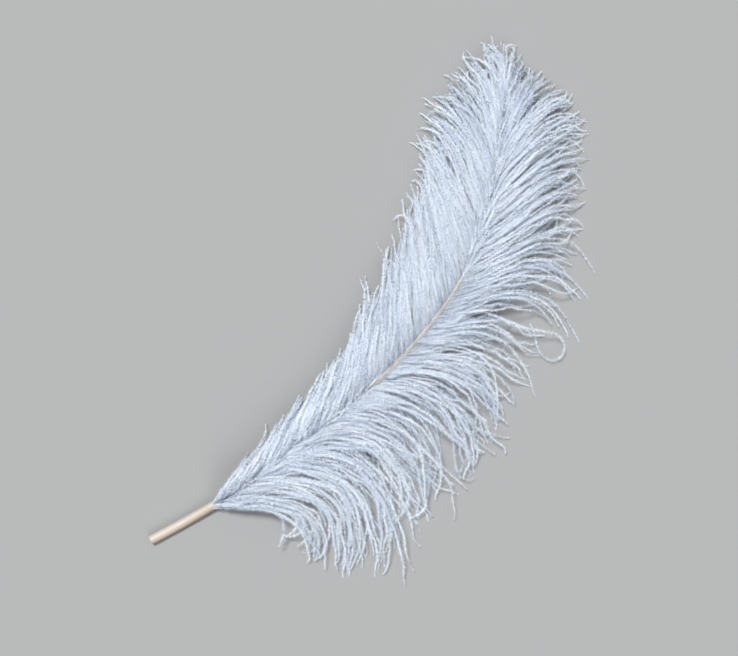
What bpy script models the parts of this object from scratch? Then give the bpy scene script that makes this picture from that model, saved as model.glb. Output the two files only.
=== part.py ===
"""A loose white ostrich plume with a trimmed quill, lying on a flat surface.

Metres, +Z up. The feather runs from the cut quill towards +Y, its shaft bows
towards +X, and the origin is on the surface under the middle of its box. Shaft and
vanes grew as one piece, so they are one solid: each vane is a sheet of locks that
share their edges near the shaft and part into points.
"""
import math
import random

import bmesh
import bpy
import numpy as np
from mathutils import Vector

MM = 0.001

# Where the middle of the quill's cut end is, seen from above.
BUTT = Vector((-57.95, -186.49)) * MM

# The shaft: heading to the right of +Y, radius, and height of its centre above the
# surface, by distance from the cut end. The bare quill lies on one of its flats.
SHAFT_LENGTH = 357 * MM
SHAFT_SIDES = 10
SHAFT_SEGMENTS = 30
QUILL_RADIUS = 3.0
QUILL_CENTER = QUILL_RADIUS * math.cos(math.pi / SHAFT_SIDES)
HEADING_AT = np.array([0, 60, 120, 170, 205, 235, 265, 300, 357]) * MM
HEADING_DEGREES = [26, 20, 15, 10, 4, -3, -15, -25, -33]
PROFILE_AT = np.array([0, 24, 60, 150, 230, 300, 357]) * MM
RADIUS = np.array([QUILL_RADIUS, QUILL_RADIUS, 2.4, 1.7, 1.3, 1.0, 0.5]) * MM
HEIGHT = np.array([QUILL_CENTER, QUILL_CENTER, 5.0, 12.0, 15.5, 14.0, 10.0]) * MM

# The barbs, by distance of their roots along the shaft: their length and, in one row
# for each root, the angle between barb and shaft at five places from root to end. The
# outer vane, on the +X side, sweeps along the shaft and then droops back towards the
# quill. The inner vane sweeps up along the shaft.
OUTER = 1
INNER = -1
ROOT_AT = np.array([42, 50, 60, 75, 90, 120, 160, 200, 230, 260, 290, 325, 357]) * MM
BARB_LENGTH = {
    OUTER: np.array([86, 100, 111, 117, 117, 108, 94, 87, 83, 78, 71, 56, 40]) * MM,
    INNER: np.array([36, 40, 44, 49, 53, 62, 72, 80, 80, 78, 72, 62, 47]) * MM,
}
ANGLE_PLACES = [0.0, 0.25, 0.5, 0.75, 1.0]
BARB_DEGREES = {
    OUTER: np.array([
        [34, 34, 52, 104, 140],
        [28, 28, 52, 106, 134],
        [22, 25, 54, 106, 126],
        [18, 24, 60, 104, 122],
        [17, 28, 68, 103, 120],
        [22, 42, 80, 105, 118],
        [36, 56, 84, 108, 118],
        [42, 42, 64, 94, 112],
        [46, 34, 44, 74, 102],
        [48, 36, 36, 52, 86],
        [46, 36, 38, 56, 88],
        [30, 24, 32, 50, 76],
        [2, 2, 4, 8, 13],
    ]),
    INNER: np.array([
        [30, 25, 22, 20, 18],
        [31, 26, 23, 21, 19],
        [32, 27, 24, 22, 20],
        [34, 29, 25, 23, 21],
        [36, 31, 27, 25, 23],
        [40, 35, 31, 28, 27],
        [46, 40, 36, 34, 32],
        [51, 45, 41, 39, 39],
        [53, 46, 42, 41, 41],
        [50, 44, 41, 41, 43],
        [38, 35, 38, 46, 56],
        [24, 22, 28, 38, 50],
        [0, 0, 2, 6, 11],
    ]),
}
BARB_STEPS = 24

# Height of the vanes: they rise from the shaft, then droop to the surface.
ARCH = {OUTER: 10 * MM, INNER: 9 * MM}
TIP_HEIGHT = 0.8 * MM
LIFTED_TIP = 5 * MM

# The locks of each vane. SPLIT is how far out they part, as a share of their length.
LOCKS = 34
LOCK_ROWS = 9
LOCK_TAPER = 2.0
SPLIT_AT = np.array([42, 90, 160, 357]) * MM
SPLIT = [0.45, 0.50, 0.60, 0.70]

# How much the locks differ from each other.
SEED = 11
LENGTH_SPREAD = 0.12
TURN_SPREAD = {OUTER: math.radians(4), INNER: math.radians(3)}
RIDGE_HEIGHT = (1.2 * MM, 3.0 * MM)

# Thickness of the sheet at the shaft and at the points, and half-way out. The loft is
# how far the loose barbs stand above the line of the vane half-way out.
EDGE_THICKNESS = 1.0 * MM
MIDDLE_THICKNESS = 7.0 * MM
LOFT = 5.0 * MM

TABLE_POINTS = 400
MERGE_DISTANCE = 0.02 * MM
WHITE = (0.86, 0.89, 0.94, 1.0)


def shaft_table():
    """Distances along the shaft, with the x, y and heading of its centre line there."""
    distance = np.linspace(0, SHAFT_LENGTH, TABLE_POINTS)
    heading = np.radians(np.interp(distance, HEADING_AT, HEADING_DEGREES))
    step = distance[1] - distance[0]
    x = BUTT.x + np.concatenate([[0], np.cumsum(np.sin(heading[:-1]) * step)])
    y = BUTT.y + np.concatenate([[0], np.cumsum(np.cos(heading[:-1]) * step)])
    return distance, x, y, heading


SHAFT_TABLE = shaft_table()


def shaft_point(distance):
    """Centre of the shaft at a distance from the cut end, and its heading."""
    along, x, y, heading = SHAFT_TABLE
    height = np.interp(distance, PROFILE_AT, HEIGHT)
    point = Vector((np.interp(distance, along, x), np.interp(distance, along, y), height))
    return point, np.interp(distance, along, heading)


def vane_height(side, root_height, out, lift):
    """Height of a vane at a share of the way out from the shaft."""
    droop = out * out * (3 - 2 * out)
    level = root_height + (TIP_HEIGHT - root_height) * droop
    return level + ARCH[side] * math.sin(math.pi * out) + lift * out ** 3


def barb_path(side, root, stretch=1.0, extra_turn=0.0, lift=0.0):
    """Evenly spaced points along a barb, from the shaft out.

    A stretched barb runs on along the same curve before it ends.
    """
    start, heading = shaft_point(root)
    length = stretch * np.interp(root, ROOT_AT, BARB_LENGTH[side])
    turns = [np.interp(root, ROOT_AT, column) for column in BARB_DEGREES[side].T]
    flat = Vector((start.x, start.y))
    points = [start]
    for step in range(BARB_STEPS):
        share = (step + 0.5) / BARB_STEPS
        turn = math.radians(np.interp(share * stretch, ANGLE_PLACES, turns))
        angle = heading + side * (turn + extra_turn * share)
        flat = flat + Vector((math.sin(angle), math.cos(angle))) * (length / BARB_STEPS)
        height = vane_height(side, start.z, (step + 1) / BARB_STEPS, lift)
        points.append(Vector((flat.x, flat.y, height)))
    return points


def at_share(points, share):
    """Point at a share of the way along a list of evenly spaced points."""
    place = share * (len(points) - 1)
    index = min(int(place), len(points) - 2)
    return points[index].lerp(points[index + 1], place - index)


def lock_width(share, split):
    """Width of a lock, as a share of its full width: whole, then down to a point."""
    if share <= split:
        return 1.0
    return 1.0 - ((share - split) / (1.0 - split)) ** LOCK_TAPER


def add_lock(mesh, thickness, side, index, chance):
    """Adds one lock of a vane: a strip with a ridge, which ends in a point."""
    pitch = (SHAFT_LENGTH - ROOT_AT[0]) / LOCKS
    low = ROOT_AT[0] + index * pitch
    roots = {-1: low, 0: low + pitch / 2, 1: low + pitch}
    paths = {column: barb_path(side, root) for column, root in roots.items()}
    splits = {column: np.interp(root, SPLIT_AT, SPLIT) for column, root in roots.items()}
    stretch = 1 + chance.uniform(-LENGTH_SPREAD, LENGTH_SPREAD)
    turn = chance.uniform(-TURN_SPREAD[side], TURN_SPREAD[side])
    lift = LIFTED_TIP * max(0.0, chance.uniform(-1.5, 1.0))
    ridge = chance.uniform(*RIDGE_HEIGHT)
    own_path = barb_path(side, roots[0], stretch, turn, lift)
    grid = bmesh.ops.create_grid(mesh, x_segments=2, y_segments=LOCK_ROWS, size=1)
    for vertex in grid["verts"]:
        column = round(vertex.co.x)
        share = (vertex.co.y + 1) / 2
        bulge = math.sin(math.pi * share)
        width = lock_width(share, splits[column])
        vertex.co = at_share(own_path, share).lerp(at_share(paths[column], share), width)
        rise = LOFT + ridge if column == 0 else LOFT
        vertex.co.z += rise * bulge
        vertex[thickness] = EDGE_THICKNESS + (MIDDLE_THICKNESS - EDGE_THICKNESS) * bulge


def vane_sheet():
    """Both vanes as one closed sheet, joined along the shaft and trimmed at the surface."""
    chance = random.Random(SEED)
    mesh = bmesh.new()
    thickness = mesh.verts.layers.float.new("thickness")
    for side in (OUTER, INNER):
        for index in range(LOCKS):
            add_lock(mesh, thickness, side, index, chance)
    bmesh.ops.remove_doubles(mesh, verts=mesh.verts, dist=MERGE_DISTANCE)
    bmesh.ops.recalc_face_normals(mesh, faces=mesh.faces)
    lower = bmesh.ops.extrude_face_region(mesh, geom=list(mesh.faces), use_keep_orig=True)
    for item in lower["geom"]:
        if isinstance(item, bmesh.types.BMVert):
            item.co.z = max(0.0, item.co.z - item[thickness])
    bmesh.ops.recalc_face_normals(mesh, faces=mesh.faces)
    data = bpy.data.meshes.new("feather")
    mesh.to_mesh(data)
    mesh.free()
    return data


def shaft_curve():
    """The quill and shaft as a tapering tube, cut square at the quill."""
    curve = bpy.data.curves.new("shaft", "CURVE")
    curve.dimensions = "3D"
    curve.bevel_depth = 1.0
    curve.bevel_resolution = (SHAFT_SIDES - 4) // 2
    curve.use_fill_caps = True
    spline = curve.splines.new("POLY")
    spline.points.add(SHAFT_SEGMENTS)
    for index, point in enumerate(spline.points):
        distance = SHAFT_LENGTH * index / SHAFT_SEGMENTS
        center, _ = shaft_point(distance)
        point.co = (*center, 1.0)
        point.radius = np.interp(distance, PROFILE_AT, RADIUS)
    return curve


def curve_as_mesh(curve, name, collection):
    """A closed mesh object made from a curve, with its end caps joined on."""
    source = bpy.data.objects.new(name + "_curve", curve)
    collection.objects.link(source)
    bpy.context.view_layer.update()
    evaluated = source.evaluated_get(bpy.context.evaluated_depsgraph_get())
    data = bpy.data.meshes.new_from_object(evaluated)
    mesh = bmesh.new()
    mesh.from_mesh(data)
    bmesh.ops.remove_doubles(mesh, verts=mesh.verts, dist=MERGE_DISTANCE)
    mesh.to_mesh(data)
    mesh.free()
    result = bpy.data.objects.new(name, data)
    result.matrix_world = source.matrix_world
    collection.objects.link(result)
    bpy.data.objects.remove(source)
    return result


def shaft_cutter(collection):
    """The shaft's solid, which the vanes are joined to."""
    cutter = curve_as_mesh(shaft_curve(), "shaft_form", collection)
    cutter.hide_render = True
    cutter.display_type = "WIRE"
    return cutter


def white_barbs():
    """Dull bluish white."""
    material = bpy.data.materials.new("white_barbs")
    material.use_nodes = True
    shader = material.node_tree.nodes["Principled BSDF"]
    shader.inputs["Base Color"].default_value = WHITE
    shader.inputs["Roughness"].default_value = 0.7
    shader.inputs["Metallic"].default_value = 0.0
    return material


def main():
    for old in list(bpy.data.objects):
        bpy.data.objects.remove(old)
    parts = bpy.data.collections.new("ostrich_feather")
    cutters = bpy.data.collections.new("cutters")
    for collection in (parts, cutters):
        bpy.context.scene.collection.children.link(collection)
    feather = bpy.data.objects.new("feather", vane_sheet())
    feather.data.materials.append(white_barbs())
    parts.objects.link(feather)
    union = feather.modifiers.new("Shaft", "BOOLEAN")
    union.operation = "UNION"
    union.solver = "EXACT"
    union.object = shaft_cutter(cutters)


main()
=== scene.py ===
"""The looks of a loose white ostrich plume: a horn shaft and its many fine barbs.

Metres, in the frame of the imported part: +Z up, the cut quill towards -Y, the tip
towards +Y, and the wide outer vane towards +X. The barbs follow the same flow as the
locks of the part's solid, and the long ones end where those locks end.
"""
import math
import random

import bmesh
import bpy
import numpy as np
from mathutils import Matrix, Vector


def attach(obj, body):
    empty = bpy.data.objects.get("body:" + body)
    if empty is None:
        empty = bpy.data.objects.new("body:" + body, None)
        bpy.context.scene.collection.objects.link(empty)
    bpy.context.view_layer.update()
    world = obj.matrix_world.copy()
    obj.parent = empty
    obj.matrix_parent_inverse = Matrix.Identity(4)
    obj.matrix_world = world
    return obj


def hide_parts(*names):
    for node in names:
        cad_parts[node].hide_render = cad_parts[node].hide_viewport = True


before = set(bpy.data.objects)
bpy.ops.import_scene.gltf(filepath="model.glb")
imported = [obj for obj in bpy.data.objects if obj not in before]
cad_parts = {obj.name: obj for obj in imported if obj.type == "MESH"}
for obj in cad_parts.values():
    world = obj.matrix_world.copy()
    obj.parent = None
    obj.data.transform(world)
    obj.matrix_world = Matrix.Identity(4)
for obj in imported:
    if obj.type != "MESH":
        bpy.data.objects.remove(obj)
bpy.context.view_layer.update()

MM = 0.001
CM = 0.01

# ---------------------------------------------------------------- the part's own flow
# Repeated from the part's source: where the quill's cut end is, and the shaft's
# heading to the right of +Y, radius and height, by distance from that end.
BUTT = np.array([-57.95, -186.49]) * MM
SHAFT_LENGTH = 357 * MM
HEADING_AT = np.array([0, 60, 120, 170, 205, 235, 265, 300, 357]) * MM
HEADING_DEGREES = [26, 20, 15, 10, 4, -3, -15, -25, -33]
PROFILE_AT = np.array([0, 24, 60, 150, 230, 300, 357]) * MM
RADIUS = np.array([2.85, 2.85, 2.4, 1.7, 1.3, 1.0, 0.5]) * MM
HEIGHT = np.array([2.85, 2.85, 5.0, 12.0, 15.5, 14.0, 10.0]) * MM

# The barbs, by distance of their roots along the shaft: their length and, in one row
# for each root, the angle between barb and shaft at five places from root to end.
OUTER = 1
INNER = -1
ROOT_AT = np.array([42, 50, 60, 75, 90, 120, 160, 200, 230, 260, 290, 325, 357]) * MM
BARB_LENGTH = {
    OUTER: np.array([86, 100, 111, 117, 117, 108, 94, 87, 83, 78, 71, 56, 40]) * MM,
    INNER: np.array([36, 40, 44, 49, 53, 62, 72, 80, 80, 78, 72, 62, 47]) * MM,
}
ANGLE_PLACES = [0.0, 0.25, 0.5, 0.75, 1.0]
BARB_DEGREES = {
    OUTER: np.array([
        [34, 34, 52, 104, 140],
        [28, 28, 52, 106, 134],
        [22, 25, 54, 106, 126],
        [18, 24, 60, 104, 122],
        [17, 28, 68, 103, 120],
        [22, 42, 80, 105, 118],
        [36, 56, 84, 108, 118],
        [42, 42, 64, 94, 112],
        [46, 34, 44, 74, 102],
        [48, 36, 36, 52, 86],
        [46, 36, 38, 56, 88],
        [30, 24, 32, 50, 76],
        [2, 2, 4, 8, 13],
    ]),
    INNER: np.array([
        [30, 25, 22, 20, 18],
        [31, 26, 23, 21, 19],
        [32, 27, 24, 22, 20],
        [34, 29, 25, 23, 21],
        [36, 31, 27, 25, 23],
        [40, 35, 31, 28, 27],
        [46, 40, 36, 34, 32],
        [51, 45, 41, 39, 39],
        [53, 46, 42, 41, 41],
        [50, 44, 41, 41, 43],
        [38, 35, 38, 46, 56],
        [24, 22, 28, 38, 50],
        [0, 0, 2, 6, 11],
    ]),
}

# Places in the table of the shaft's course.
TABLE_POINTS = 400

# Height of the vanes: they rise from the shaft, then droop to the surface.
ARCH = {OUTER: 10 * MM, INNER: 9 * MM}
TIP_HEIGHT = 0.8 * MM

# The locks that the barbs gather into, with the same draws as in the part's source.
LOCKS = 34
LOCK_SEED = 11
LOCK_LENGTH_SPREAD = 0.12
LOCK_TURN_SPREAD = {OUTER: math.radians(4), INNER: math.radians(3)}
LOCK_RIDGE = (1.2 * MM, 3.0 * MM)
LIFTED_TIP = 5 * MM
LIFT_RANGE = (-1.5, 1.0)
SPLIT_AT = np.array([42, 90, 160, 357]) * MM
SPLIT = [0.45, 0.50, 0.60, 0.70]

# ---------------------------------------------------------------- the single barbs
# Number of barbs, the length of the steps along them and how unevenly they start, in
# shares of the gap between them. The vanes' pieces have seeds of their own, below.
BARBS_PER_LOCK = 20
BARBS_PER_TUFT = 5
STEP = 0.265 * MM
ROOT_JITTER = 0.35
STRAY_SEED = 3
COVER_SEED = 9
SHAFT_SEED = 5

# How far locks and tufts narrow to their ends, how much of its lock's own length, turn
# and lift a barb takes, and where tufts split, in shares of where their lock does.
LOCK_NARROWING = (0.0, 0.3)
TUFT_NARROWING = (0.3, 0.9)
NARROWING_POWER = 1.3
LOCK_SHARE_AT = np.array([100, 220]) * MM
LOCK_SHARE = [0.8, 0.45]
TUFT_SPLIT_AT = np.array([150, 240]) * MM
TUFT_SPLIT_SHARE = [0.7, 1.0]

# The longest barbs, in shares of BARB_LENGTH, and how much shorter the others are.
LONGEST_AT = np.array([42, 52, 130, 150, 195, 213, 228, 290, 308, 328, 345, 357]) * MM
LONGEST = {
    OUTER: [0.99, 1.1, 1.06, 1.0, 1.0, 0.92, 1.01, 1.01, 1.18, 1.14, 0.94, 0.88],
    INNER: [1.06] * 9 + [1.08, 1.04, 1.0],
}
LENGTH_SPREAD_AT = np.array([150, 240]) * MM
LENGTH_SPREAD = [0.12, 0.15]

# How far the barbs turn off the flow: all of them, more at the tip, and a few strays.
TURN_SPREAD = math.radians(5.5)
TIP_AT = np.array([300, 350]) * MM
TIP_TURN = [1.0, 2.2]
STRAY_SHARE = 0.15
STRAY_TURN = math.radians(13)

# Waves along the barbs: so strong in a combed vane and so much more in a wild one, and
# so strong at the root and more by the share of the way to the end.
WAVE_TURN = math.radians(22)
WAVE_KNOTS = 15
WAVE_WAYS = (0.4, 0.6)
WAVE_AT_ROOT = 0.3

# Spread of the smooth noise that waves, ripples and twists are made of.
NOISE_SPREAD = 0.6

# Bends at the ends: a curl of all barbs and a sharper hook of a few, both more in the
# upper half, and an upward sweep of the upper outer vane.
CURL_AT = np.array([200, 250]) * MM
CURL_FROM = 0.70
CURL_POWER = 1.5
CURL_DEGREES = [14, 66]
HOOK_SHARE = [0.05, 0.26]
HOOK_TURN = math.radians(70)
HOOK_FROM = 0.86
UPSWEEP_AT = np.array([215, 260, 330, 345]) * MM
UPSWEEP_DEGREES = {OUTER: [0, 18, 18, 0], INNER: [0, 0, 0, 0]}
UPSWEEP_FROM = 0.3

# How far the barbs stand above the vane: the loft of all of them, the spread about it
# and its limits. Then their ripples, which are full after 1 / RIPPLE_START of the way.
LOFT = 5.0 * MM
HEIGHT_SPREAD = 1.4 * MM
RISE_LIMITS = (1 * MM, 8 * MM)
RISE_POWER = 0.8
RIPPLE = 0.9 * MM
RIPPLE_KNOTS = 9
RIPPLE_START = 6

# The least height of a barb above the surface below it, and above the shaft.
FLOOR_GAP = 0.25 * MM
SHAFT_GAP = 0.12 * MM

# How far tufts and single barbs go their own way, in shares of the spreads above: so
# much in a combed vane, and so much more in a wild one. The tufts are calmer high up.
# Most barbs are well held by their tuft, which takes much of their own way from them.
TUFT_WAYS = (0.1, 1.2)
TUFT_CALM_AT = np.array([215, 250]) * MM
TUFT_CALM = [1.0, 0.45]
OWN_WAYS = (0.7, 1.4)
HOLD_POWER = 0.4
HELD_BACK = 0.8

# How tangled the vanes are by distance of the roots, 0 combed and 1 wild.
LOOSE_AT = np.array([42, 60, 110, 150, 190, 215, 240, 300, 357]) * MM
LOOSENESS = {
    OUTER: [0.5, 0.6, 0.85, 0.9, 1.0, 1.0, 0.5, 0.45, 0.5],
    INNER: [0.4, 0.3, 0.3, 0.3, 0.3, 0.3, 0.3, 0.4, 0.5],
}

# The share of the barbs that end early, which leaves sparse places in the fringe, and
# the length of the shortest of them, in shares of their full length.
SHORT_AT = np.array([42, 94, 104, 152, 160, 190, 199, 228, 235, 255, 263, 271, 357]) * MM
SHORT_SHARE = {
    OUTER: [0.3, 0.4, 0.9, 0.86, 0.4, 0.35, 0.8, 0.8, 0.2, 0.1, 0.4, 0.1, 0.05],
    INNER: [0.1] * 13,
}
SHORT_LENGTH_AT = np.array([160, 196]) * MM
SHORT_LENGTH = [0.24, 0.42]
SHORT_LENGTH_SPREAD = 0.32

# Where across the shaft the barbs start, in radii towards their own side of it, until
# 1 / PLACE_FADE of their way. They lie over the shaft near the quill and at the tip, and
# leave it bare between. Where they cover it they also hug it, by up to so many degrees
# and for a share of their way.
COVER_AT = np.array([42, 60, 140, 165, 255, 290, 357]) * MM
ROOT_PLACE = [0.3, -0.3, -0.1, 0.15, 0.05, -0.4, -0.5]
ROOT_PLACE_SPREAD = [0.4, 0.5, 0.5, 0.15, 0.2, 0.6, 0.6]
HUG_DEGREES = [20, 36, 40, 0, 10, 30, 0]
PLACE_LIMITS = (-0.8, 0.9)
PLACE_FADE = 7
HUG_END = 0.3

# Barbules: the fine hairs that stand off both sides of every barb. Their length goes by
# the share of the way along the barb, and the vane's fluff by the barb's root.
BARBULE_AT = [0.0, 0.04, 0.15, 0.6, 0.85, 1.0]
BARBULE_LENGTH = np.array([0.6, 0.9, 1.6, 2.1, 1.9, 1.1]) * MM
BARBULE_LENGTH_SPREAD = (0.45, 1.15)
FLUFF_AT = np.array([42, 150, 230, 357]) * MM
FLUFF = {OUTER: [1.15, 1.1, 1.0, 0.9], INNER: [1.0, 1.0, 1.0, 0.9]}
BARBULE_DEGREES = (32, 78)
BARBULE_ROLL = math.radians(40)

# How far the barbules of a barb roll together about it, in radians, and twist along it.
BARB_ROLL = 0.5
BARB_TWIST = 0.9
TWIST_KNOTS = 6

# Where a barb's line and its two rows of barbules are in its strip of the mesh's maps,
# and the gap at the strip's ends.
STRIP_PLACES = [0.5, 0.05, 0.95]
STRIP_MARGIN = 0.002

# The vanes are cut into pieces, to keep each mesh small: name, side, first lock, lock
# after the last, and seed.
PIECES = [
    ("outer_vane_low", OUTER, 0, 10, 47),
    ("outer_vane_middle", OUTER, 10, 21, 1047),
    ("outer_vane_high", OUTER, 21, 34, 2147),
    ("inner_vane_low", INNER, 0, 17, 33),
    ("inner_vane_high", INNER, 17, 34, 1733),
]

# Barbs that stray, one in a row: side, root and length in mm, how far the barb has bent
# off the flow, in degrees, at even steps along it, and its rise in mm.
STRAYS = [
    (OUTER, 222, 124, (0, 4, 17, 31, 27, 16, -16, -24, 14, 104, 180, 214, 190), 4),
    (OUTER, 252, 94, (0, 0, 0, 10, 45), 3),
    (OUTER, 238, 94, (0, -4, -4, 0, 12), 2),
    (OUTER, 229, 98, (0, 2, 4, 8, 14), 3),
    (OUTER, 227, 90, (0, 2, 4, 10, 18), 4),
    (OUTER, 226, 80, (0, 2, 2, 8, 20), 2),
    (OUTER, 225, 75, (0, 0, 4, 14, 14), 3),
    (OUTER, 302, 74, (0, -4, -6, 4, 50), 3),
    (OUTER, 286, 76, (0, -4, -8, 6, 56), 4),
    (OUTER, 268, 76, (0, 0, -4, -14, -44), 4),
    (OUTER, 212, 56, (-18, -14, -18, -30, -40), 5),
    (OUTER, 204, 94, (0, 0, 0, 2, 6, 10, 10, 10, 10), 4),
    (OUTER, 197, 92, (0, 0, 6, 14, 24, 34, 34, 34, 34), 3),
    (OUTER, 150, 84, (0, 2, 10, 24, 34), 4),
    (OUTER, 146, 90, (0, 0, -6, -20, -10), 2),
    (OUTER, 138, 96, (0, -2, 6, 28, 20), 4),
    (OUTER, 131, 98, (0, 0, 2, -22, -34), 3),
    (OUTER, 122, 102, (0, 0, 4, 20, -24), 4),
    (OUTER, 116, 96, (0, 0, -8, -30, -20), 3),
    (OUTER, 42.5, 63, (0, 0, 0, 0, -10, 10, 50, 60, 40), 2),
    (OUTER, 43.5, 71, (0, 0, -3, 0, -10, -10, 30, 80, 60), 1),
    (OUTER, 44.0, 77, (0, 0, 0, 4, -8, -20, 20, 80, 110), 2),
    (OUTER, 45.0, 81, (0, 0, 0, 0, -4, -10, 0, 60, 50), 1),
    (OUTER, 46.0, 88, (0, 0, 0, 0, 0, 4, -10, 30, 90), 1),
    (OUTER, 48.0, 93, (0, 0, 0, -6, 0, 4, -6, 20, 60), 2),
    (OUTER, 51.0, 96, (0, 0, 0, -4, 0, 6, 0, -20, 40), 1),
    (INNER, 150, 74, (0, 0, 4, 12, 30), 2),
    (INNER, 205, 88, (0, 0, -4, -8, 20), 2),
    (INNER, 262, 82, (0, 0, 4, 10, 40), 3),
]
STRAY_WAVE = math.radians(5)
STRAY_RISE_POWER = 0.5

# Barbs that run along the shaft and cover it before they join their vane: the stretch
# of shaft that they start on, in mm, and their number. They come to the vane's height
# after 1 / COVER_SETTLE of their way, and their rise is in mm.
COVERS = [(46, 138, 110), (246, 340, 110)]
COVER_TURN = math.radians(7)
COVER_WAVE = math.radians(11)
COVER_LENGTH = (0.55, 0.95)
COVER_JOIN = 0.75
COVER_JOIN_POWER = 0.6
COVER_SETTLE = 2.5
COVER_RISE = (0.5, 4.0)

# The shaft's mesh. The first rings go from inside the hollow cut end to its edge and
# the last ones round off the tip, each with its distance along the shaft, or past its
# end, and its share of the radius. The shaft is round at the quill and squarer above.
SHAFT_SIDES = 28
SHAFT_STEP = 1.2 * MM
CUT_RINGS = [
    (2.6 * MM, 0.30),
    (2.3 * MM, 0.62),
    (0.5 * MM, 0.72),
    (0.05 * MM, 0.78),
    (0.0, 0.87),
    (0.1 * MM, 0.96),
    (0.4 * MM, 1.0),
]
TIP_RINGS = [(0.4 * MM, 0.7), (0.7 * MM, 0.3)]
SQUARE_AT = np.array([30, 80]) * MM
SQUARENESS = [0, 0.04]
RING_UNEVENNESS = 0.006

# ---------------------------------------------------------------- the picture
CAMERA_TURN = math.radians(36.8)
CAMERA_LENS = 85
CAMERA_DISTANCE = 1.06
CAMERA_CENTER = (-0.029, -0.004)
NEAREST_SEEN = 0.05
FLOOR_REACH = 30.0

# Distant lights: name, direction that it shines from, width in degrees and strength.
LIGHTS = [
    ("key", (-0.42, 0.2, 1.0), 12, 3.3),
    ("fill", (0.75, -0.4, 1.0), 45, 1.05),
]
SKY_STRENGTH = 0.35

# ---------------------------------------------------------------- colours
BARB_PALE = (0.77, 0.82, 0.89, 1)
# Painted shade: a darker blue-grey that a share of the barbs take, as if in the shadow of the barbs
# above.
BARB_PAINTED_SHADE = (0.50, 0.58, 0.71, 1)
BARB_STREAK = (0.60, 0.68, 0.81, 1)
BARB_ROOT = (0.58, 0.52, 0.43, 1)
BARB_EDGE = (0.84, 0.88, 0.93, 1)
QUILL_CREAM = (0.58, 0.535, 0.465, 1)
HORN_TAN = (0.41, 0.33, 0.225, 1)
HORN_STREAK = (0.37, 0.30, 0.21, 1)
HORN_CLOUD = (0.62, 0.57, 0.50, 1)
# Partly the quill's own pinkish tone, partly painted shade on its side away from the key light.
HORN_FLUSH_AND_SHADE = (0.38, 0.26, 0.195, 1)
FLOOR_GREY = (0.31, 0.31, 0.308, 1)
SKY_WHITE = (0.88, 0.94, 1.0, 1)

# ---------------------------------------------------------------- surfaces
# The barbs' streaks: their scales across and along the barbs, and their detail. Then
# how rare the barbs darkened with painted shade are, as if shaded by the barbs above,
# and the most that streaks and edges change the colour.
BARB_GRAIN = (3.0, 0.9)
BARB_GRAIN_DETAIL = 3.0
PAINTED_SHADE_POWER = 2.2
BARB_STREAK_SHARE = 0.3
BARB_EDGE_SHARE = 0.44

# How far out from the shaft the roots' colour goes, in cm, and its share at the shaft.
BARB_ROOT_REACH = 0.25
BARB_ROOT_SHARE = 0.55

# What streaks add to the roughness and its least value, and the strength and depth of
# their relief.
BARB_ROUGHNESS = (0.25, 0.55)
BARB_RELIEF = (0.25, 0.2 * MM)
BARB_SPECULAR = 0.25
BARB_SHEEN = 0.15
BARB_SHEEN_ROUGHNESS = 0.5

# The same for the shaft: the scales of its pattern around and along it, scale and
# detail of its streaks and clouds, and the most that they change the colour.
HORN_GRAIN = (5.0, 0.7)
HORN_STREAKS = (1.6, 4.0)
HORN_CLOUDS = (0.5, 2.0)
HORN_STREAK_SHARE = 0.6
HORN_CLOUD_SHARE = 0.4
HORN_ROUGHNESS = (0.3, 0.26)
HORN_RELIEF = (0.35, 0.3 * MM)

# Where the quill's cream turns to tan, in cm from its cut end. Where the pinkish flush on the
# shaft's right side, partly the horn's own tone and partly painted shade on the side away from
# the key light, starts and is full, as cosines of the way around, and its share.
QUILL_TO_HORN = (2.0, 9.0)
FLUSH_AND_SHADE_RANGE = (-0.3, 0.8)
FLUSH_AND_SHADE_SHARE = 0.65

FLOOR_ROUGHNESS = 0.9


def shaft_table():
    """Distances along the shaft, with the x, y and heading of its centre line there."""
    distance = np.linspace(0, SHAFT_LENGTH, TABLE_POINTS)
    heading = np.radians(np.interp(distance, HEADING_AT, HEADING_DEGREES))
    step = distance[1] - distance[0]
    x = BUTT[0] + np.concatenate([[0], np.cumsum(np.sin(heading[:-1]) * step)])
    y = BUTT[1] + np.concatenate([[0], np.cumsum(np.cos(heading[:-1]) * step)])
    return distance, x, y, heading


SHAFT_TABLE = shaft_table()


def shaft_point(distance):
    """The shaft's centre at a distance from the cut end, as x, y, z and heading."""
    along, x, y, heading = SHAFT_TABLE
    level = np.interp(distance, PROFILE_AT, HEIGHT)
    at_x, at_y, turn = (np.interp(distance, along, values) for values in (x, y, heading))
    return at_x, at_y, level, turn


def step_ends(steps):
    """Shares of the way along a barb at its root and the end of every step."""
    return np.arange(steps + 1) / steps


def step_middles(steps):
    """Shares of the way along a barb at the middle of every step."""
    return (np.arange(steps) + 0.5) / steps


def past(share, start):
    """How far a share of the way is past a start, from 0 there to 1 at the end."""
    return np.clip((share - start) / (1 - start), 0, 1)


def eased(share):
    """A share from 0 to 1, slowed at both ends."""
    return share * share * (3 - 2 * share)


def barb_turn(side, root, share):
    """Angle between the shaft and a barb that follows the flow, at a share of its way."""
    turns = [np.interp(root, ROOT_AT, column) for column in BARB_DEGREES[side].T]
    return np.radians(np.interp(share, ANGLE_PLACES, turns))


def vane_height(side, root_height, out):
    """Height of a vane at a share of the way out from the shaft."""
    level = root_height + (TIP_HEIGHT - root_height) * eased(out)
    return level + ARCH[side] * np.sin(math.pi * out)


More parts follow.
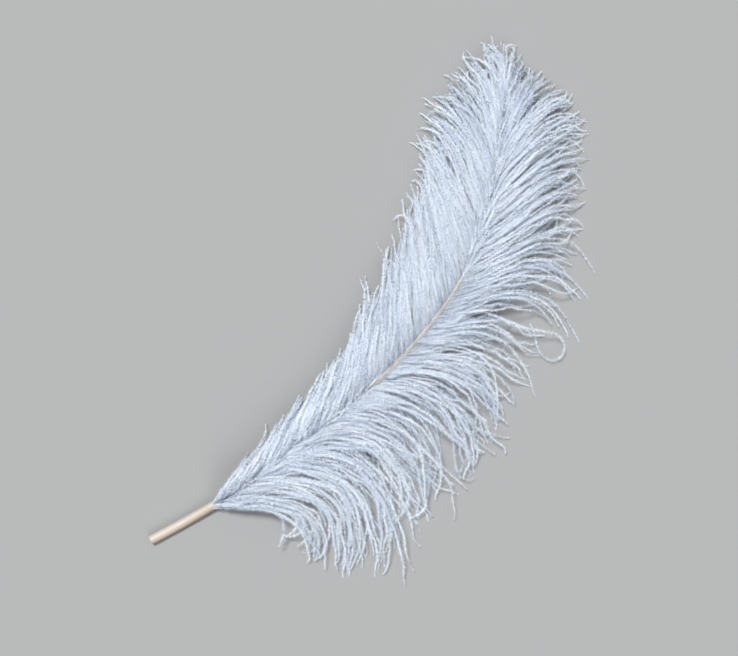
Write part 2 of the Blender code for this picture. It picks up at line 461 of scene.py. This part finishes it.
def barb_line(side, root, steps, stretch=1.0, extra_turn=0.0, lift=0.0, bend=0.0):
    """Evenly spaced points along a barb, from the shaft out."""
    x, y, height, heading = shaft_point(root)
    length = stretch * np.interp(root, ROOT_AT, BARB_LENGTH[side])
    share = step_middles(steps)
    turn = barb_turn(side, root, share * stretch)
    angle = heading + side * (turn + extra_turn * share + bend)
    moves = np.column_stack([np.sin(angle), np.cos(angle)]) * (length / steps)
    flat = np.vstack([[x, y], np.array([x, y]) + np.cumsum(moves, axis=0)])
    out = step_ends(steps)
    return np.column_stack([flat, vane_height(side, height, out) + lift * out ** 3])


def lock_draws():
    """Each lock's stretch, turn and lift, drawn as the part's source draws them."""
    chance = random.Random(LOCK_SEED)
    draws = {}
    for side in (OUTER, INNER):
        for index in range(LOCKS):
            stretch = 1 + chance.uniform(-LOCK_LENGTH_SPREAD, LOCK_LENGTH_SPREAD)
            turn = chance.uniform(-LOCK_TURN_SPREAD[side], LOCK_TURN_SPREAD[side])
            lift = LIFTED_TIP * max(0.0, chance.uniform(*LIFT_RANGE))
            # The source draws the height of the solid's ridge here.
            chance.uniform(*LOCK_RIDGE)
            draws[side, index] = (stretch, turn, lift)
    return draws


def narrowing(share, split, end):
    """Width of a group of barbs along its length: whole, then narrower to its end."""
    return 1 - (1 - end) * past(share, split) ** NARROWING_POWER


def smooth_noise(chance, count, knots):
    """Smoothly changing random numbers along a barb, about -1 to 1."""
    values = chance.normal(0, NOISE_SPREAD, knots)
    share = np.linspace(0, 1, count)
    place = np.interp(share, np.linspace(0, 1, knots), np.arange(knots))
    low = np.minimum(place.astype(int), knots - 2)
    part = eased(place - low)
    return values[low] * (1 - part) + values[low + 1] * part


def draw_habit(chance, spread):
    """How a barb or a tuft differs from its neighbours, in shares of the full spread."""
    return {
        "turn": chance.normal(0, TURN_SPREAD) * spread,
        "curl": chance.normal() * spread ** 2,
        "rise": chance.normal(0, HEIGHT_SPREAD) * spread,
    }


def own_ways(side, root, steps, habits, loose, chance):
    """Points along a barb that goes its own way, from what its habits add up to."""
    share = step_middles(steps)
    turn = sum(habit["turn"] for habit in habits)
    if chance.random() < STRAY_SHARE:
        turn += chance.normal(0, STRAY_TURN)
    turn *= np.interp(root, TIP_AT, TIP_TURN)
    curl = math.radians(np.interp(root, CURL_AT, CURL_DEGREES))
    curl *= sum(habit["curl"] for habit in habits)
    hook = chance.normal(0, HOOK_TURN)
    if chance.random() > np.interp(root, CURL_AT, HOOK_SHARE):
        hook = 0.0
    hug = math.radians(np.interp(root, COVER_AT, HUG_DEGREES)) * chance.random()
    wave = WAVE_TURN * smooth_noise(chance, steps, WAVE_KNOTS)
    wave *= (WAVE_AT_ROOT + share) * (WAVE_WAYS[0] + WAVE_WAYS[1] * loose)
    bend = wave + curl * past(share, CURL_FROM) ** CURL_POWER
    bend += hook * past(share, HOOK_FROM)
    bend -= hug * np.clip(1 - share / HUG_END, 0, 1)
    upsweep = math.radians(np.interp(root, UPSWEEP_AT, UPSWEEP_DEGREES[side]))
    bend -= upsweep * past(share, UPSWEEP_FROM)
    spread = np.interp(root, LENGTH_SPREAD_AT, LENGTH_SPREAD)
    stretch = np.interp(root, LONGEST_AT, LONGEST[side]) - abs(chance.normal(0, spread))
    if chance.random() < np.interp(root, SHORT_AT, SHORT_SHARE[side]):
        shortest = np.interp(root, SHORT_LENGTH_AT, SHORT_LENGTH)
        stretch *= shortest + SHORT_LENGTH_SPREAD * chance.random()
    return barb_line(side, root, steps, stretch, turn, 0.0, bend)


def barb_points(side, root, group, chance):
    """Points along one barb, gathered with its tuft and lock and then on its own way."""
    length = np.interp(root, ROOT_AT, BARB_LENGTH[side])
    steps = round(length / STEP)
    share = step_ends(steps)
    loose = np.interp(root, LOOSE_AT, LOOSENESS[side])
    hold = chance.random() ** HOLD_POWER
    own_spread = (OWN_WAYS[0] + OWN_WAYS[1] * loose) * (1 - HELD_BACK * hold)
    habits = [group["habit"], draw_habit(chance, own_spread)]
    split = np.interp(group["lock_root"], SPLIT_AT, SPLIT)
    plain = barb_line(side, root, steps)
    lock_plain = barb_line(side, group["lock_root"], steps)
    lock_own = barb_line(side, group["lock_root"], steps, *group["lock"])
    tuft_plain = barb_line(side, group["tuft_root"], steps)
    lock_width = narrowing(share, split, group["lock_end"])[:, None]
    tuft_split = split * np.interp(root, TUFT_SPLIT_AT, TUFT_SPLIT_SHARE)
    tuft_width = narrowing(share, tuft_split, 1 - hold * group["tuft_hold"])[:, None]
    lock_share = np.interp(root, LOCK_SHARE_AT, LOCK_SHARE)
    points = lock_plain + (lock_own - lock_plain) * lock_share
    points += (tuft_plain - lock_plain) * lock_width
    points += (plain - tuft_plain) * tuft_width
    points += own_ways(side, root, steps, habits, loose, chance) - plain
    rise = LOFT + sum(habit["rise"] for habit in habits)
    ripple = RIPPLE * smooth_noise(chance, steps + 1, RIPPLE_KNOTS)
    ripple *= np.minimum(1, share * RIPPLE_START)
    points[:, 2] += np.clip(rise, *RISE_LIMITS) * np.sin(math.pi * share) ** RISE_POWER + ripple
    over_shaft(points, side, root, share, chance)
    points[:, 2] = np.maximum(points[:, 2], FLOOR_GAP)
    return points


def over_shaft(points, side, root, share, chance):
    """Starts a barb on the shaft's upper surface, and keeps it above that surface."""
    heading = shaft_point(root)[3]
    aside = np.array([math.cos(heading), -math.sin(heading)]) * side
    spread = np.interp(root, COVER_AT, ROOT_PLACE_SPREAD)
    place = chance.normal(np.interp(root, COVER_AT, ROOT_PLACE), spread)
    place = np.clip(place, *PLACE_LIMITS)
    fade = np.clip(1 - share * PLACE_FADE, 0, 1) ** 2
    points[:, :2] += np.outer(fade * np.interp(root, PROFILE_AT, RADIUS) * place, aside)
    distance, beside = place_by_shaft(points)
    radius = np.interp(distance, PROFILE_AT, RADIUS)
    surface = np.interp(distance, PROFILE_AT, HEIGHT)
    surface += np.sqrt(np.maximum(0, radius ** 2 - beside ** 2)) + SHAFT_GAP
    above = (np.abs(beside) < radius) & (distance < SHAFT_LENGTH)
    points[:, 2] = np.where(above, np.maximum(points[:, 2], surface), points[:, 2])


def place_by_shaft(points):
    """Distance along the shaft of each point's nearest place on it, and how far beside."""
    along, x, y, heading = SHAFT_TABLE
    away = (points[:, 0][:, None] - x) ** 2 + (points[:, 1][:, None] - y) ** 2
    nearest = np.argmin(away, axis=1)
    offset_x = points[:, 0] - x[nearest]
    offset_y = points[:, 1] - y[nearest]
    turn = heading[nearest]
    beside = offset_x * np.cos(turn) - offset_y * np.sin(turn)
    return along[nearest] + offset_x * np.sin(turn) + offset_y * np.cos(turn), beside


def frames_along(points):
    """Direction of a line at its points, with level and upright directions across it."""
    along = np.gradient(points, axis=0)
    along /= np.linalg.norm(along, axis=1)[:, None]
    level = np.cross(along, [0, 0, 1])
    level /= np.linalg.norm(level, axis=1)[:, None]
    return along, level, np.cross(level, along)


class BarbMesh:
    """Collects barbs, each a line with a fine barbule on both sides of every step."""

    def __init__(self):
        self.points = []
        self.faces = []
        self.strips = []
        self.lengths = []
        self.count = 0

    def add(self, points, chance, hairiness):
        """Adds one barb: two rows of slim triangles that share the line between them."""
        steps = len(points) - 1
        share = step_ends(steps)
        middle = (share[1:] + share[:-1]) / 2
        along, level, upright = (part[1:] for part in frames_along(points))
        roll = chance.normal(0, BARB_ROLL) + BARB_TWIST * smooth_noise(chance, steps, TWIST_KNOTS)
        centers = (points[1:] + points[:-1]) / 2
        hairs = []
        for sign in (1, -1):
            own_roll = (roll + chance.normal(0, BARBULE_ROLL, steps))[:, None]
            aside = sign * np.cos(own_roll) * level + np.sin(own_roll) * upright
            lean = np.radians(chance.uniform(*BARBULE_DEGREES, steps))[:, None]
            reach = hairiness * np.interp(middle, BARBULE_AT, BARBULE_LENGTH)
            reach = (reach * chance.uniform(*BARBULE_LENGTH_SPREAD, steps))[:, None]
            hairs.append(centers + reach * (np.cos(lean) * along + np.sin(lean) * aside))
        block = np.vstack([points, *hairs])
        block[:, 2] = np.maximum(block[:, 2], FLOOR_GAP / 2)
        step = np.arange(steps)
        faces = np.vstack([
            np.column_stack([step, step + 1, step + steps + 1]),
            np.column_stack([step + 1, step, step + 2 * steps + 1]),
        ])
        across = np.repeat(STRIP_PLACES, [steps + 1, steps, steps])
        place = np.concatenate([share, middle, middle])
        self.points.append(block)
        self.faces.append(faces + self.count)
        self.strips.append(np.column_stack([len(self.lengths) + across, place]))
        self.lengths.append(np.linalg.norm(np.diff(points, axis=0), axis=1).sum())
        self.count += len(block)

    def build(self, name, material):
        """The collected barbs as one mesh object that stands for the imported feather."""
        points = np.vstack(self.points)
        faces = np.vstack(self.faces)
        strips = np.vstack(self.strips)
        data = bpy.data.meshes.new(name)
        data.vertices.add(len(points))
        data.vertices.foreach_set("co", points.astype(np.float32).ravel())
        data.loops.add(faces.size)
        data.loops.foreach_set("vertex_index", faces.astype(np.int32).ravel())
        data.polygons.add(len(faces))
        data.polygons.foreach_set("loop_start", np.arange(0, faces.size, 3, dtype=np.int32))
        data.polygons.foreach_set("use_smooth", np.ones(len(faces), dtype=bool))
        data.update(calc_edges=True)
        number, share = strips[faces.ravel()].T
        lengths = np.array(self.lengths)[number.astype(int)]
        pattern = np.column_stack([number, share * lengths / CM])
        along = STRIP_MARGIN + (1 - 2 * STRIP_MARGIN) * share
        bake = np.column_stack([number / len(self.lengths), along])
        for layer, values in (("barb", pattern), ("OFBake", bake)):
            uv = data.uv_layers.new(name=layer)
            uv.uv.foreach_set("vector", values.astype(np.float32).ravel())
        data.materials.append(material)
        add_piece(name, data)


def add_piece(name, data):
    """Adds a mesh as a piece of the feather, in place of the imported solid."""
    piece = bpy.data.objects.new(name, data)
    bpy.context.scene.collection.objects.link(piece)
    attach(piece, "root")
    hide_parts("feather")


def add_vanes(material):
    """Both vanes, lock by lock from the quill to the tip."""
    draws = lock_draws()
    pitch = (SHAFT_LENGTH - ROOT_AT[0]) / LOCKS
    gap = pitch / BARBS_PER_LOCK
    for name, side, first, last, seed in PIECES:
        chance = np.random.default_rng(seed)
        barbs = BarbMesh()
        for index in range(first, last):
            low = ROOT_AT[0] + index * pitch
            loose = np.interp(low, LOOSE_AT, LOOSENESS[side])
            group = {
                "lock": draws[side, index],
                "lock_root": low + pitch / 2,
                "lock_end": 1 - loose * chance.uniform(*LOCK_NARROWING),
            }
            for number in range(BARBS_PER_LOCK):
                if number % BARBS_PER_TUFT == 0:
                    ways = TUFT_WAYS[0] + TUFT_WAYS[1] * loose
                    ways *= np.interp(low, TUFT_CALM_AT, TUFT_CALM)
                    group["habit"] = draw_habit(chance, ways)
                    group["tuft_root"] = low + (number + BARBS_PER_TUFT / 2) * gap
                    group["tuft_hold"] = loose * chance.uniform(*TUFT_NARROWING)
                root = low + (number + 0.5 + chance.uniform(-ROOT_JITTER, ROOT_JITTER)) * gap
                fluff = np.interp(root, FLUFF_AT, FLUFF[side])
                barbs.add(barb_points(side, root, group, chance), chance, fluff)
        barbs.build(name, material)


def add_strays(material):
    """The few barbs that leave the vanes on their own way."""
    chance = np.random.default_rng(STRAY_SEED)
    barbs = BarbMesh()
    for side, root, length, degrees, rise in STRAYS:
        root *= MM
        length *= MM
        steps = round(length / STEP)
        share = step_middles(steps)
        bend = np.radians(np.interp(share, np.linspace(0, 1, len(degrees)), degrees))
        bend += STRAY_WAVE * smooth_noise(chance, steps, WAVE_KNOTS)
        stretch = length / np.interp(root, ROOT_AT, BARB_LENGTH[side])
        points = barb_line(side, root, steps, stretch, 0.0, 0.0, bend)
        out = step_ends(steps)
        points[:, 2] = vane_height(side, shaft_point(root)[2], np.minimum(1, out * stretch))
        points[:, 2] += rise * MM * np.sin(math.pi * out) ** STRAY_RISE_POWER
        over_shaft(points, side, root, out, chance)
        points[:, 2] = np.maximum(points[:, 2], FLOOR_GAP)
        barbs.add(points, chance, np.interp(root, FLUFF_AT, FLUFF[side]))
    barbs.build("stray_barbs", material)


def add_cover(material):
    """Barbs that lie along the shaft and over it, where the plume hides its shaft."""
    chance = np.random.default_rng(COVER_SEED)
    barbs = BarbMesh()
    for first, last, count in COVERS:
        for _ in range(count):
            side = OUTER if chance.random() < 0.5 else INNER
            root = chance.uniform(first, last) * MM
            stretch = chance.uniform(*COVER_LENGTH)
            steps = round(stretch * np.interp(root, ROOT_AT, BARB_LENGTH[side]) / STEP)
            share = step_middles(steps)
            turn = barb_turn(side, root, share * stretch)
            bend = chance.normal(0, COVER_TURN) - turn
            bend *= np.clip(1 - share / COVER_JOIN, 0, 1) ** COVER_JOIN_POWER
            bend += COVER_WAVE * smooth_noise(chance, steps, WAVE_KNOTS)
            points = barb_line(side, root, steps, stretch, 0.0, 0.0, bend)
            out = step_ends(steps)
            start = shaft_point(root)[2]
            points[:, 2] = start + (points[:, 2] - start) * np.minimum(1, out * COVER_SETTLE)
            points[:, 2] += chance.uniform(*COVER_RISE) * MM * np.sin(math.pi * out)
            over_shaft(points, side, root, out, chance)
            barbs.add(points, chance, np.interp(root, FLUFF_AT, FLUFF[side]))
    barbs.build("cover_barbs", material)


def linked(tree, kind, inputs, **settings):
    """A new node with its settings, and values or links for its inputs by name or place."""
    node = tree.nodes.new(kind)
    for key, value in settings.items():
        setattr(node, key, value)
    for key, value in inputs.items():
        socket = node.inputs[key]
        if isinstance(value, bpy.types.NodeSocket):
            tree.links.new(value, socket)
        else:
            socket.default_value = value
    return node


def math_node(tree, operation, *values):
    """Result of one sum on numbers or sockets."""
    return linked(tree, "ShaderNodeMath", dict(enumerate(values)), operation=operation).outputs[0]


def mixed(tree, factor, first, second):
    """A mix of two colours."""
    return linked(tree, "ShaderNodeMix", {0: factor, 6: first, 7: second}, data_type="RGBA").outputs[2]


def ramp(tree, value, start, end, low, high):
    """A number that goes from low to high while a value goes from start to end."""
    return linked(tree, "ShaderNodeMapRange", {0: value, 1: start, 2: end, 3: low, 4: high}).outputs[0]


def noise(tree, place, scale, detail):
    """Cloudy noise, about 0 to 1, at a place."""
    inputs = {"Vector": place, "Scale": scale, "Detail": detail}
    return linked(tree, "ShaderNodeTexNoise", inputs).outputs[0]


def map_place(tree, name):
    """The two numbers of one of the mesh's own maps."""
    place = linked(tree, "ShaderNodeUVMap", {}, uv_map=name).outputs[0]
    split = linked(tree, "ShaderNodeSeparateXYZ", {0: place})
    return split.outputs[0], split.outputs[1]


def new_material(name):
    """A new material with its node tree and main shader."""
    material = bpy.data.materials.new(name)
    material.use_nodes = True
    return material, material.node_tree, material.node_tree.nodes["Principled BSDF"]


def finish_surface(tree, shader, color, rough, height, strength, depth):
    """Joins a colour, a roughness and the height of a fine relief to the shader."""
    relief = {"Height": height, "Strength": strength, "Distance": depth}
    tree.links.new(color, shader.inputs["Base Color"])
    tree.links.new(rough, shader.inputs["Roughness"])
    tree.links.new(linked(tree, "ShaderNodeBump", relief).outputs[0], shader.inputs["Normal"])


def barb_material():
    """Dull bluish white, a little different from barb to barb and along each one, with painted shade
    on some barbs.
    """
    material, tree, shader = new_material("white_barbs")
    strip, along = map_place(tree, "barb")
    number = math_node(tree, "FLOOR", strip)
    across = math_node(tree, "FRACT", strip)
    own = linked(tree, "ShaderNodeTexWhiteNoise", {"W": number}, noise_dimensions="1D").outputs[0]
    drawn = linked(tree, "ShaderNodeCombineXYZ", {
        0: math_node(tree, "MULTIPLY", strip, BARB_GRAIN[0]),
        1: math_node(tree, "MULTIPLY", along, BARB_GRAIN[1]),
    }).outputs[0]
    streak = noise(tree, drawn, 1.0, BARB_GRAIN_DETAIL)
    beside = math_node(tree, "ABSOLUTE", math_node(tree, "SUBTRACT", across, STRIP_PLACES[0]))
    at_root = ramp(tree, along, 0.0, BARB_ROOT_REACH, BARB_ROOT_SHARE, 0.0)
    # Painted shade: a random share of the barbs is darkened, as if in the shadow of the barbs above.
    color = mixed(tree, math_node(tree, "POWER", own, PAINTED_SHADE_POWER), BARB_PALE, BARB_PAINTED_SHADE)
    color = mixed(tree, math_node(tree, "MULTIPLY", streak, BARB_STREAK_SHARE), color, BARB_STREAK)
    color = mixed(tree, at_root, color, BARB_ROOT)
    color = mixed(tree, math_node(tree, "MULTIPLY", beside, BARB_EDGE_SHARE), color, BARB_EDGE)
    rough = math_node(tree, "MULTIPLY_ADD", streak, *BARB_ROUGHNESS)
    finish_surface(tree, shader, color, rough, streak, *BARB_RELIEF)
    shader.inputs["Specular IOR Level"].default_value = BARB_SPECULAR
    shader.inputs["Sheen Weight"].default_value = BARB_SHEEN
    shader.inputs["Sheen Roughness"].default_value = BARB_SHEEN_ROUGHNESS
    return material


def shaft_rings():
    """Distance along and radius share of every ring, from inside the cut to the tip."""
    count = round(SHAFT_LENGTH / SHAFT_STEP)
    plain = [(SHAFT_LENGTH * index / count, 1.0) for index in range(1, count + 1)]
    tip = [(SHAFT_LENGTH + beyond, share) for beyond, share in TIP_RINGS]
    return CUT_RINGS + plain + tip


def ring_points(distance, share, chance):
    """One ring of the shaft, a little uneven, from its right side over the top."""
    x, y, z, heading = shaft_point(min(distance, SHAFT_LENGTH))
    beyond = max(0.0, distance - SHAFT_LENGTH)
    ahead = np.array([math.sin(heading), math.cos(heading), 0])
    aside = np.array([math.cos(heading), -math.sin(heading), 0])
    turn = np.arange(SHAFT_SIDES) * (2 * math.pi / SHAFT_SIDES)
    squareness = np.interp(distance, SQUARE_AT, SQUARENESS)
    radius = share * np.interp(distance, PROFILE_AT, RADIUS)
    radius = radius * (1 - squareness * np.cos(4 * turn) + chance.normal(0, RING_UNEVENNESS))
    ring = np.array([x, y, z]) + ahead * beyond
    ring = ring + np.outer(radius * np.cos(turn), aside)
    return ring + np.outer(radius * np.sin(turn), [0, 0, 1])


def face_corners(verts, ends, number, side):
    """Corners of a face between a ring and the next: vertex, place around and row.

    Before the first ring and after the last the faces close the tube to its ends.
    """
    last = len(verts) - 1
    low = verts[max(number, 0)]
    high = verts[min(number + 1, last)]
    after = (side + 1) % SHAFT_SIDES
    corners = [
        (low[side], side, number),
        (low[after], side + 1, number),
        (high[after], side + 1, number + 1),
        (high[side], side, number + 1),
    ]
    if number < 0:
        corners[:2] = [(ends[0], side + 0.5, number)]
    if number == last:
        corners[2:] = [(ends[1], side + 0.5, number + 1)]
    return corners


def add_shaft(material):
    """Quill and shaft: a round tube with a cut, hollow end, which thins to the tip."""
    chance = np.random.default_rng(SHAFT_SEED)
    rings = shaft_rings()
    last = len(rings) - 1
    rows = [ring_points(distance, share, chance) for distance, share in rings]
    mesh = bmesh.new()
    ends = [mesh.verts.new(row.mean(axis=0)) for row in (rows[0], rows[last])]
    verts = [[mesh.verts.new((x, y, max(0.0, z))) for x, y, z in row] for row in rows]
    pattern = mesh.loops.layers.uv.new("shaft")
    bake = mesh.loops.layers.uv.new("OFBake")
    for number in range(-1, last + 1):
        for side in range(SHAFT_SIDES):
            corners = face_corners(verts, ends, number, side)
            face = mesh.faces.new([vertex for vertex, _, _ in corners])
            face.smooth = True
            for loop, (_, around, row) in zip(face.loops, corners):
                distance = rings[min(max(row, 0), last)][0]
                loop[pattern].uv = (around / SHAFT_SIDES, distance / CM)
                # Rows go from -1 at the first end to last + 1 at the other.
                loop[bake].uv = (around / SHAFT_SIDES, (row + 1.5) / (last + 3))
    bmesh.ops.recalc_face_normals(mesh, faces=mesh.faces)
    data = bpy.data.meshes.new("shaft")
    mesh.to_mesh(data)
    mesh.free()
    data.materials.append(material)
    add_piece("shaft", data)


def shaft_material():
    """Cream horn: paler at the bare quill, tan along the shaft, with fine streaks, and a pinkish flush
    with painted shade on its right side.
    """
    material, tree, shader = new_material("cream_horn")
    around, along = map_place(tree, "shaft")
    turn = math_node(tree, "MULTIPLY", around, 2 * math.pi)
    right = math_node(tree, "COSINE", turn)
    over = math_node(tree, "SINE", turn)
    drawn = linked(tree, "ShaderNodeCombineXYZ", {
        0: math_node(tree, "MULTIPLY", right, HORN_GRAIN[0]),
        1: math_node(tree, "MULTIPLY", over, HORN_GRAIN[0]),
        2: math_node(tree, "MULTIPLY", along, HORN_GRAIN[1]),
    }).outputs[0]
    streak = noise(tree, drawn, *HORN_STREAKS)
    cloud = noise(tree, drawn, *HORN_CLOUDS)
    color = mixed(tree, ramp(tree, along, *QUILL_TO_HORN, 0.0, 1.0), QUILL_CREAM, HORN_TAN)
    color = mixed(tree, math_node(tree, "MULTIPLY", streak, HORN_STREAK_SHARE), color, HORN_STREAK)
    color = mixed(tree, math_node(tree, "MULTIPLY", cloud, HORN_CLOUD_SHARE), color, HORN_CLOUD)
    # A pinkish flush on the right side: partly the horn's own tone, partly painted shade on the side
    # away from the key light.
    color = mixed(tree, ramp(tree, right, *FLUSH_AND_SHADE_RANGE, 0.0, FLUSH_AND_SHADE_SHARE), color, HORN_FLUSH_AND_SHADE)
    rough = math_node(tree, "MULTIPLY_ADD", streak, *HORN_ROUGHNESS)
    finish_surface(tree, shader, color, rough, streak, *HORN_RELIEF)
    return material


def add_floor():
    """A plain pale floor."""
    material, tree, shader = new_material("pale_floor")
    shader.inputs["Base Color"].default_value = FLOOR_GREY
    shader.inputs["Roughness"].default_value = FLOOR_ROUGHNESS
    data = bpy.data.meshes.new("floor")
    corners = [(x * FLOOR_REACH, y * FLOOR_REACH, 0) for x, y in ((-1, -1), (1, -1), (1, 1), (-1, 1))]
    data.from_pydata(corners, [], [(0, 1, 2, 3)])
    data.materials.append(material)
    floor = bpy.data.objects.new("floor", data)
    bpy.context.scene.collection.objects.link(floor)


def add_light(name, direction, width, strength):
    """A distant soft light that shines from a direction, as wide as an angle in degrees."""
    data = bpy.data.lights.new(name, "SUN")
    data.angle = math.radians(width)
    data.energy = strength
    light = bpy.data.objects.new(name, data)
    light.rotation_euler = Vector(direction).to_track_quat("Z", "Y").to_euler()
    bpy.context.scene.collection.objects.link(light)


def add_lights():
    """A soft key from the upper left, a weak fill, and a pale sky."""
    for row in LIGHTS:
        add_light(*row)
    world = bpy.data.worlds.new("pale_sky")
    world.use_nodes = True
    sky = world.node_tree.nodes["Background"]
    sky.inputs[0].default_value = SKY_WHITE
    sky.inputs[1].default_value = SKY_STRENGTH
    bpy.context.scene.world = world


def add_camera():
    """A long lens straight above, turned so that the quill points to the lower left."""
    data = bpy.data.cameras.new("camera")
    data.lens = CAMERA_LENS
    data.clip_start = NEAREST_SEEN
    camera = bpy.data.objects.new("camera", data)
    camera.location = (*CAMERA_CENTER, CAMERA_DISTANCE)
    camera.rotation_euler = (0, 0, CAMERA_TURN)
    bpy.context.scene.collection.objects.link(camera)
    bpy.context.scene.camera = camera


white = barb_material()
add_vanes(white)
add_strays(white)
add_cover(white)
add_shaft(shaft_material())
add_floor()
add_lights()
add_camera()
bpy.context.scene.view_settings.view_transform = "Standard"
